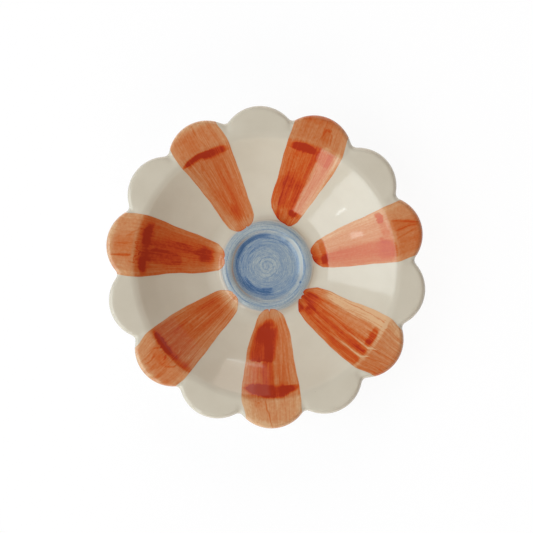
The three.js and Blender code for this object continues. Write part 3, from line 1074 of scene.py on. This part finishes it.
# %% Petal 3, right: thin colour and a fan of runs on the lip
MARKS["orange_petal_3"] = [
    mark(0.37, 25, 57, 0.57, (0.47, 0.44), 0.16, (1.5, 0.8), 0, 2),
    mark(0.1, 49.5, 56.2, 0.52, (0.42, 0.4), 0.14, (1.5, 0.6)),
    mark(0.14, 51, 56.5, 0.1, (0.25, 0.22), 0.1, (1, 0.5)),
    mark(0.5, 51.7, 54.9, (-0.7, -0.68), (0.22, 0.2), 0.06, 0.5, 2),
    mark(0.2, 52.5, 55.8, -0.2, (0.3, 0.26), 0.1, (0.8, 0.6)),
    mark(-0.1, 57.5, 71, (-0.7, -0.65), 0.3, 0.12),
    mark(0.25, 57.5, 68.5, (-0.42, -0.12), (0.03, 0.05), 0.03, 0.6),
    mark(0.18, 57, 68, (-0.22, -0.1), (0.26, 0.05), 0.05),
    mark(0.2, 57.5, 68, (0.0, -0.08), 0.02, 0.02),
    mark(0.1, 58, 69, (0.2, 0.1), (0.25, 0.3), 0.1),
    mark(0.22, 58, 67.5, (0.26, 0.06), (0.03, 0.02), 0.03),
    mark(0.1, 58, 67, (0.6, 0.55), (0.3, 0.25), 0.15, 1.5, 0, 2),
    mark(0.1, 65.5, 70, (0.45, 0.4), (0.25, 0.2), 0.1),
    mark(0.36, 24.5, 27.2, 0.1, 1.05, 0.1, (0.6, 0.4), 0, 0.6, 0),
    mark(0.14, 24.8, 27, 0.45, (0.28, 0.3), 0.12, (0.8, 0.4), 1.5),
    mark(0.22, 20.5, 25.5, 0.7, 0.35, 0.15),
]
print("marks on petal 3:", len(MARKS["orange_petal_3"]))

# %% Petal 4, back right: thick colour on the left and a drip on the lip
MARKS["orange_petal_4"] = [
    mark(-0.24, 27, 57.5, (0.64, 0.66), (0.48, 0.46), 0.05, (0.8, 0.6), 0, 0.6, 0.05),
    mark(-0.06, 40, 56.5, -0.75, 0.3, 0.12, (3, 0.6)),
    mark(0.13, 27, 42, -0.45, (0.55, 0.5), 0.2, (2, 4)),
    mark(0.4, 52.4, 56.1, (-0.42, -0.4), (0.46, 0.42), 0.12, (0.9, 0.5), 2.5, 0.25, 0.6),
    mark(0.22, 49.5, 56, 0.45, (0.28, 0.3), 0.16, (1.8, 0.8), 0, 1, 0.9),
    mark(0.08, 36, 41, (-0.5, -0.45), (0.4, 0.3), 0.25, 2),
    mark(0.4, 24.2, 27.2, (0.28, 0.25), (0.38, 0.36), 0.12, (0.6, 0.8), -0.5),
    mark(0.08, 27, 52, (0.05, 0.08), (0.1, 0.08), 0.08, (2, 3)),
    mark(-0.15, 26, 36, (-0.35, -0.2), (0.04, 0.03), 0.04, 2),
    mark(-0.12, 26, 38, (-0.75, -0.6), 0.03, 0.04, 2),
    mark(0.2, 20.5, 25, (-0.75, -0.7), 0.3, 0.2),
    mark(-0.15, 21, 27, -0.3, 0.25, 0.1),
    mark(-0.12, 21, 25, 0.75, 0.25, 0.1),
    mark(-0.2, 28, 57, 0.96, 0.14, 0.1, (2, 1), 0, 1, 0),
    mark(0.28, 60.3, 65.2, (0.05, 0.08), (0.035, 0.03), 0.03, (0.6, 0.4)),
    mark(0.28, 59, 64, (0.42, 0.36), (0.03, 0.035), 0.03, (0.6, 0.4)),
    mark(0.25, 64.4, 65.6, 0.2, (0.13, 0.1), 0.05, 0.3, 30),
    mark(0.12, 59.5, 64.8, (0.24, 0.22), (0.16, 0.12), 0.04, (0.8, 0.4)),
    mark(0.18, 62, 69, (0.05, 0.0), (0.02, 0.015), 0.02),
    mark(-0.1, 58, 71, (0.7, 0.65), (0.36, 0.38), 0.12),
    mark(0.12, 65.5, 70.5, (-0.45, -0.4), (0.4, 0.35), 0.12),
]
print("marks on petal 4:", len(MARKS["orange_petal_4"]))

# %% Petal 5, back left: one long pool behind the ridge
MARKS["orange_petal_5"] = [
    mark(0.55, 54.6, 57, -0.32, (0.66, 0.64), 0.14, (0.8, 0.4), 3, 0.25),
    mark(0.5, 52.8, 56.2, 0.36, (0.5, 0.46), 0.18, (1.2, 0.6), 2, 0.25),
    mark(0.03, 26, 52, -0.3, 0.3, 0.12, 3),
    mark(0.06, 25, 53, (0.35, 0.3), (0.4, 0.35), 0.2, 2),
    mark(0.14, 29, 50, 0.2, (0.06, 0.05), 0.05, (4, 5)),
    mark(0.2, 23, 31, -0.04, (0.26, 0.24), 0.08, (1, 2)),
    mark(-0.1, 22, 28, -0.6, 0.3, 0.15, (1, 2)),
    mark(-0.1, 40, 54, -0.75, (0.3, 0.25), 0.12, (3, 1)),
    mark(0.16, 49.5, 52.5, (-0.4, -0.36), (0.05, 0.03), 0.04, 0.6, 0, 3),
    mark(0.12, 51, 53.5, (-0.75, -0.85), (0.06, 0.03), 0.04, 0.6, 0, 3),
    mark(0.2, 64, 69.5, (0.07, 0.06), 0.02, 0.02),
    mark(0.16, 57, 61, (0.2, 0.1), 0.02, 0.02),
    mark(0.12, 57.5, 69, -0.25, (0.22, 0.2), 0.1),
    mark(0.15, 23, 24.5, 0.55, (0.1, 0.08), 0.06, 0.5),
]
print("marks on petal 5:", len(MARKS["orange_petal_5"]))

# %% Petal 6, left: two pools, dark overlaps down the wall and painted shade on the ridge
MARKS["orange_petal_6"] = [
    mark(0.28, 51.2, 55, -0.5, (0.4, 0.36), 0.2, (2, 1.6), 3, 0.3),
    mark(0.24, 52.2, 55, (-0.66, -0.64), (0.24, 0.22), 0.12, (0.8, 0.6)),
    mark(0.14, 51, 54.4, 0.1, 0.16, 0.1, (1, 0.8)),
    mark(0.42, 51.2, 55, 0.42, (0.36, 0.34), 0.2, (2, 1.6), 5, 0.3),
    mark(0.2, 37.2, 52, (-0.42, -0.28), 0.28, 0.06, (0.5, 2), -10, 0.5),
    mark(0.2, 34, 51, (0.14, 0.16), (0.24, 0.2), 0.12, (1.5, 2)),
    mark(0.24, 23.6, 30, (-0.02, 0.1), (0.46, 0.5), 0.15, (0.6, 1.5), -1, 1.5, 0.2),
    mark(0.2, 30, 34, 0.05, (0.15, 0.03), 0.05, (1, 0.8)),
    mark(0.08, 27, 36, -0.1, 0.38, 0.2, 2),
    mark(-0.12, 21, 28, (0.65, 0.6), (0.35, 0.3), 0.15, (1, 1.5)),
    mark(-0.12, 25, 36, (-0.7, -0.75), (0.25, 0.2), 0.12, 2),
    mark(-0.06, 22, 57, (0.75, 0.8), (0.35, 0.3), 0.12, (2, 1)),
    mark(0.35, 58.8, 67.5, (-0.33, -0.43), (0.045, 0.025), 0.025, (0.6, 0.5)),
    mark(0.22, 59, 65, (0.02, -0.06), (0.03, 0.02), 0.03),
    mark(0.2, 58.3, 62, (0.28, 0.25), (0.05, 0.02), 0.03),
    mark(0.18, 57.3, 59.5, (0.5, 0.35), (0.05, 0.03), 0.03, 0.4),
    mark(0.15, 57.2, 60, (-0.55, -0.5), (0.04, 0.02), 0.03, 0.4),
    # The thin dark band on the ridge below is painted shade, the ridge's shadow on this side.
    mark(0.25, 56.6, 57.6, -0.3, 0.4, 0.1, 0.3, 0, 4),
    mark(0.08, 58, 66, -0.05, 0.4, 0.2),
    mark(-0.1, 58, 71, 0.7, 0.35, 0.25),
    mark(-0.08, 60, 71, -0.8, 0.28, 0.16),
]
print("marks on petal 6:", len(MARKS["orange_petal_6"]))

# %% Petal 7, front left: a pool behind the ridge, deepened by painted shade, and runs on the lip
MARKS["orange_petal_7"] = [
    # The first mark, across the whole petal behind the ridge, is pooled paint deepened by painted shade.
    mark(0.28, 54.4, 56.9, -0.1, (1.0, 0.98), 0.12, (1, 0.5), 0.6, 0.3, 0.2),
    mark(0.26, 54.2, 57.3, 0.32, (0.4, 0.36), 0.2, (1.3, 0.5), 3, 0.3),
    mark(0.04, 44, 56, 0.3, 0.8, 0.15, (2, 0.5)),
    mark(0.1, 53.8, 56.5, 0.3, 0.36, 0.14, (1, 0.5), 0, 0.4),
    mark(0.14, 42, 50, 0.4, 0.06, 0.06, 1.5),
    mark(0.12, 41, 42.5, 0.2, 0.1, 0.05, 0.5),
    mark(0.16, 26, 36, 0.55, (0.2, 0.16), 0.15, (2, 3)),
    mark(0.06, 25, 47, (-0.2, -0.18), (0.09, 0.08), 0.08, (3, 4)),
    mark(-0.06, 26, 52, -0.7, (0.28, 0.25), 0.15, 3),
    mark(0.2, 57.3, 62, 0.05, (0.3, 0.28), 0.12, (0.5, 1.5), 0, 2),
    mark(0.15, 63, 68.5, (0.0, -0.02), (0.08, 0.1), 0.06, (1.5, 0.8), 0, 3),
    mark(0.15, 64, 68, (-0.38, -0.35), (0.06, 0.05), 0.05, 1, 0, 3),
    mark(0.34, 57, 61, (-0.5, -0.3), (0.04, 0.03), 0.04, (0.4, 0.6), 0, 3),
    mark(0.34, 57, 59, (0.02, -0.08), (0.05, 0.04), 0.04, (0.3, 0.4), 0, 3),
    mark(0.34, 57.2, 60, (0.3, 0.42), (0.05, 0.03), 0.04, (0.3, 0.6), 0, 3),
    mark(0.28, 60.5, 65, (-0.15, -0.1), (0.04, 0.03), 0.04, (0.8, 1), 0, 3),
    mark(0.28, 60, 66, (0.24, 0.2), (0.04, 0.03), 0.04, (0.8, 1), 0, 3),
    mark(-0.24, 50, 53.8, (-0.72, -0.62), (0.06, 0.05), 0.05, (1, 0.5), 0, 4),
    mark(-0.2, 51.5, 53.8, (-0.15, -0.2), (0.06, 0.05), 0.05, (0.6, 0.5), 0, 4),
    mark(0.14, 52, 54, (-0.3, -0.4), (0.05, 0.04), 0.04, 0.5, 0, 3),
    mark(0.12, 52, 54, (-0.05, -0.12), (0.04, 0.03), 0.04, 0.5, 0, 3),
    mark(-0.16, 57.4, 71, 0.8, 0.28, 0.14),
    mark(0.1, 27, 40, 0.75, (0.25, 0.2), 0.12, 2),
    mark(-0.12, 21, 28, -0.5, (0.45, 0.4), 0.2, (1, 2)),
    mark(0.15, 26.5, 34, 0.12, (0.16, 0.14), 0.1, (1, 2)),
]
print("marks on petal 7:", len(MARKS["orange_petal_7"]))

# %% Add up the colour on a petal
LIP_STARTS = (56, 58)
TIP_REACH = (26, 21.5)
OUTER_REACH = (65.5, 68.5)
SIDE_REACH = (3.8, 0.8)
SIDE_THINNING = -0.13
SEED_A_MARK = 1.7


def ground_load(bench, out, from_side, ground):
    """How much colour lies on a petal before its marks."""
    edge, lip, wall, tip = ground
    load = bench.math("MULTIPLY_ADD", bench.rise(out, *LIP_STARTS), lip - wall, wall)
    load = bench.math("MULTIPLY_ADD", bench.rise(out, *TIP_REACH), tip - wall, load)
    load = bench.math("MULTIPLY_ADD", bench.rise(out, *OUTER_REACH), edge, load)
    return bench.math("MULTIPLY_ADD", bench.rise(from_side, *SIDE_REACH), SIDE_THINNING, load)


def marks_load(bench, stroke, marks, seed):
    """How much colour a petal's marks add."""
    load = 0.0
    for order, (strength, values) in enumerate(marks):
        mask = bench.use(mark_group, stroke=stroke, seed=seed + order * SEED_A_MARK, **values)["Mask"]
        load = bench.math("MULTIPLY_ADD", mask, strength, load)
    return load


print("marks on all petals:", sum(len(marks) for marks in MARKS.values()))

# %% Materials of the petals
STREAK_SEED = 11.7
MARK_SEED = 3.1
BRISTLE_SHARE = 0.6
LIP_BRISTLES = 0.65
GRAIN_SHARE = 0.42
CREST_STARTS = (56.2, 57)
CREST_ENDS = (58.6, 57.6)
TIP_RIM_REACH = (0.7, 0.2)
TIP_RIM_SHARE = 0.5
POOLING = 1.5
POOL_HIDES = 0.5
for count, (name, piece) in enumerate(petal_pieces.items()):
    orange, bench, shader, place = new_finish("brushed orange " + name[-1])
    stroke = bench.node("UVMap", uv_map="stroke").outputs[0]
    from_tip, from_side = bench.parts(bench.node("UVMap", uv_map="edges").outputs[0])[:2]
    out = bench.math("MULTIPLY", bench.parts(stroke)[1], RIM_RADIUS)
    *ground, streaky, bare_crest_and_highlight = GROUND[name]
    streaks = bench.use(streak_group, stroke=stroke, seed=count * STREAK_SEED)
    load = ground_load(bench, out, from_side, ground)
    # The crest is made paler: partly thinner paint, partly a painted highlight along the ridge.
    crest = bench.math("MULTIPLY", bench.rise(out, *CREST_STARTS), bench.rise(out, *CREST_ENDS))
    load = bench.math("MULTIPLY_ADD", crest, -bare_crest_and_highlight, load)
    uneven = bench.math("ADD", streaks["Broad"], 0.5)
    rim = bench.math("MULTIPLY", bench.rise(from_tip, *TIP_RIM_REACH), uneven)
    load = bench.math("MULTIPLY_ADD", rim, TIP_RIM_SHARE, load)
    laid = marks_load(bench, stroke, MARKS[name], count * MARK_SEED)
    bristles = bench.math("ADD", streaks["Broad"], streaks["Fine"])
    calmer = bench.math("MULTIPLY_ADD", bench.rise(out, *LIP_STARTS), LIP_BRISTLES - 1, 1.0)
    bristles = bench.math("MULTIPLY", bristles, calmer)
    grain = bench.math("MULTIPLY", streaks["Grain"], GRAIN_SHARE)
    bristles = bench.math("MULTIPLY_ADD", bristles, BRISTLE_SHARE * streaky, grain)
    pooled = bench.math("MULTIPLY", laid, POOLING, clamp=True)
    bristles = bench.math("MULTIPLY", bristles, bench.math("MULTIPLY_ADD", pooled, -POOL_HIDES, 1.0))
    load = bench.math("ADD", bench.math("ADD", load, laid), bristles)
    glaze_over(bench, shader, place, bench.tones(load, ORANGE_TONES))
    piece.data.materials.append(orange)
    print(orange.name + ":", len(orange.node_tree.nodes), "nodes")

# %% [markdown]
# ## Place in the frame
# Each new piece stands for the CAD node of the same part, which is then not shown. A bowl has no joints,
# so everything rides on the one body.

# %% Tie the pieces to the frame
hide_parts("bowl_body")
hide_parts("foot_ring")
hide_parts("blue_centre")
for name, piece in petal_pieces.items():
    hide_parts(name)
pieces = [bowl_body, foot, blue_middle, *petal_pieces.values()]
for piece in pieces:
    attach(piece, "root")
print("pieces tied to the frame:", len(pieces))

# %% [markdown]
# ## Floor
# The bowl stands on a plain white floor. To a camera the floor is mostly an even white, and a smaller
# part of it is lit by the lamps, so that a faint shadow stays under the bowl.

# %% Make the floor
FLOOR_EVEN_SHARE = 0.92
FLOOR_HALF = 20
FLOOR_DROP = 0.2 * MM
FLOOR_WHITE = (0.95, 0.95, 0.95, 1)
FLOOR_ROUGHNESS = 0.8
floor_shape = bmesh.new()
bmesh.ops.create_grid(floor_shape, x_segments=1, y_segments=1, size=FLOOR_HALF)
bmesh.ops.translate(floor_shape, verts=floor_shape.verts[:], vec=(0, 0, -FLOOR_DROP))
floor = finished_piece("floor", floor_shape)
white = bpy.data.materials.new("white floor")
white.use_nodes = True
bench = Bench(white.node_tree)
shader = white.node_tree.nodes["Principled BSDF"]
shader.inputs["Base Color"].default_value = FLOOR_WHITE
shader.inputs["Roughness"].default_value = FLOOR_ROUGHNESS
even = bench.node("Emission")
path = bench.node("LightPath").outputs
seen = bench.math("ADD", path["Is Glossy Ray"], path["Is Transmission Ray"])
seen = bench.math("ADD", path["Is Camera Ray"], seen, clamp=True)
both = bench.node("MixShader")
bench.join(both.inputs[0], bench.math("MULTIPLY", seen, FLOOR_EVEN_SHARE))
bench.join(both.inputs[1], shader.outputs[0])
bench.join(both.inputs[2], even.outputs[0])
bench.join(white.node_tree.nodes["Material Output"].inputs[0], both.outputs[0])
floor.data.materials.append(white)
print("floor:", 2 * FLOOR_HALF, "metres wide")

# %% [markdown]
# ## Light
# The bowl was lit by a window on the left, whose two panes are mirrored in the glaze of the far wall, and
# by soft light from the sides. Each pane is a rectangular lamp of its true apparent size and shows in the
# glaze. The soft lights are wide suns that glossy rays don't see, because the rest of the room was dark
# in the glaze. Daylight is a little cool and the light that comes back from the room is a little warm.

# %% Hang the window
WINDOW_AWAY = 1.0
BOWL_LEVEL = 0.03
DAYLIGHT = (0.86, 0.95, 0.98)
SKY_LIGHT = (0.9, 1.03, 1.22)
ROOM_LIGHT = (1.2, 1.03, 0.91)


def window_pane(name, directions, heights, radiance, light=DAYLIGHT):
    """An upright pane of daylight between two directions, in degrees round the bowl, facing the bowl."""
    first, last = directions
    low, high = heights
    data = bpy.data.lights.new(name, "AREA")
    data.shape = "RECTANGLE"
    data.size = 2 * WINDOW_AWAY * math.tan(math.radians(last - first) / 2)
    data.size_y = high - low
    data.energy = radiance * math.pi * data.size * data.size_y
    data.color = light
    turn = math.radians(first + last) / 2
    pane = bpy.data.objects.new(name, data)
    middle = BOWL_LEVEL + (low + high) / 2
    pane.location = (WINDOW_AWAY * math.cos(turn), WINDOW_AWAY * math.sin(turn), middle)
    pane.rotation_euler = (math.radians(90), 0, turn + math.radians(90))
    pane.visible_camera = False
    bpy.context.scene.collection.objects.link(pane)
    print(name, "gives", round(data.energy, 2), "W")


WINDOW_HEIGHTS = (0.04, 1.17)
WINDOW_RADIANCE = 1.67
window_pane("wide pane", (166.4, 225.3), WINDOW_HEIGHTS, WINDOW_RADIANCE)
window_pane("narrow pane", (231.5, 240.4), WINDOW_HEIGHTS, WINDOW_RADIANCE)
window_pane("bright gap", (196, 198.6), (0.36, 0.51), 2.4)
window_pane("smaller gap", (212.8, 214.2), (0.4, 0.55), 4.5)
window_pane("far pane", (64, 84), (0.11, 0.46), 0.45, ROOM_LIGHT)
window_pane("edge of the far pane", (64, 91), (0.11, 0.46), 0.36, ROOM_LIGHT)
window_pane("bright sill", (65, 88), (0.46, 0.49), 2.6)
window_pane("dim far wall", (20, 56), (0.1, 0.42), 0.2)

# %% Set the soft lights
SOFT_SPREAD = 40
SKY_HEIGHT = 60
SKY_STRENGTH = 0.385
ROOM_HEIGHT = 32
BEHIND_STRENGTH = 0.4
FRONT_STRENGTH = 0.45


def soft_light(name, height, turn, strength, tint):
    """A wide sun from this height and direction, in degrees, that doesn't show in the glaze."""
    data = bpy.data.lights.new(name, "SUN")
    data.angle = math.radians(SOFT_SPREAD)
    data.energy = strength * math.pi
    data.color = tint
    lamp = bpy.data.objects.new(name, data)
    lamp.rotation_euler = (0, math.radians(90 - height), math.radians(turn))
    lamp.visible_glossy = False
    bpy.context.scene.collection.objects.link(lamp)
    print(name, "from", turn, "degrees gives", round(data.energy, 2), "W on each square metre")


soft_light("soft light from the left", SKY_HEIGHT, 180, SKY_STRENGTH, SKY_LIGHT)
soft_light("soft light from behind", ROOM_HEIGHT, 90, BEHIND_STRENGTH, ROOM_LIGHT)
soft_light("soft light from the front", ROOM_HEIGHT, 270, FRONT_STRENGTH, ROOM_LIGHT)

# %% Fill the room with a dim light
ROOM_COLOUR = (1.0, 0.97, 0.92, 1)
ROOM_STRENGTH = 0.05
world = bpy.data.worlds.new("dim room")
world.use_nodes = True
background = world.node_tree.nodes["Background"]
background.inputs["Color"].default_value = ROOM_COLOUR
background.inputs["Strength"].default_value = ROOM_STRENGTH
bpy.context.scene.world = world
print("room light:", ROOM_STRENGTH)

# %% [markdown]
# ## Camera
# The bowl was photographed from above and a little turned. The ring sits a touch to the upper right of
# the lip, so the camera stood that far off the axis and was tilted back to the middle of the bowl. The
# lens is long, so the lip stays round.

# %% Set the camera
VIEW_HEIGHT = 0.9
VIEW_WIDTH = 0.2296
VIEW_TURN = math.radians(-2.7)
OFF_AXIS = Vector((0.027, 0.0225, 0))
AIM = Vector((0.0005, 0.0004, LIP_TOP * MM))
SENSOR_WIDTH = 36
camera_data = bpy.data.cameras.new("view from above")
camera_data.sensor_width = SENSOR_WIDTH
camera_data.lens = SENSOR_WIDTH * VIEW_HEIGHT / VIEW_WIDTH
camera = bpy.data.objects.new("view from above", camera_data)
camera.location = AIM + Matrix.Rotation(VIEW_TURN, 3, "Z") @ OFF_AXIS + Vector((0, 0, VIEW_HEIGHT))
tilt_back = -math.atan(OFF_AXIS.y / VIEW_HEIGHT)
tilt_side = math.atan(OFF_AXIS.x / VIEW_HEIGHT)
camera.rotation_euler = (tilt_back, tilt_side, VIEW_TURN)
bpy.context.scene.collection.objects.link(camera)
bpy.context.scene.camera = camera
bpy.context.scene.view_settings.view_transform = "Standard"
print("lens:", round(camera_data.lens, 1), "mm")

# %% [markdown]
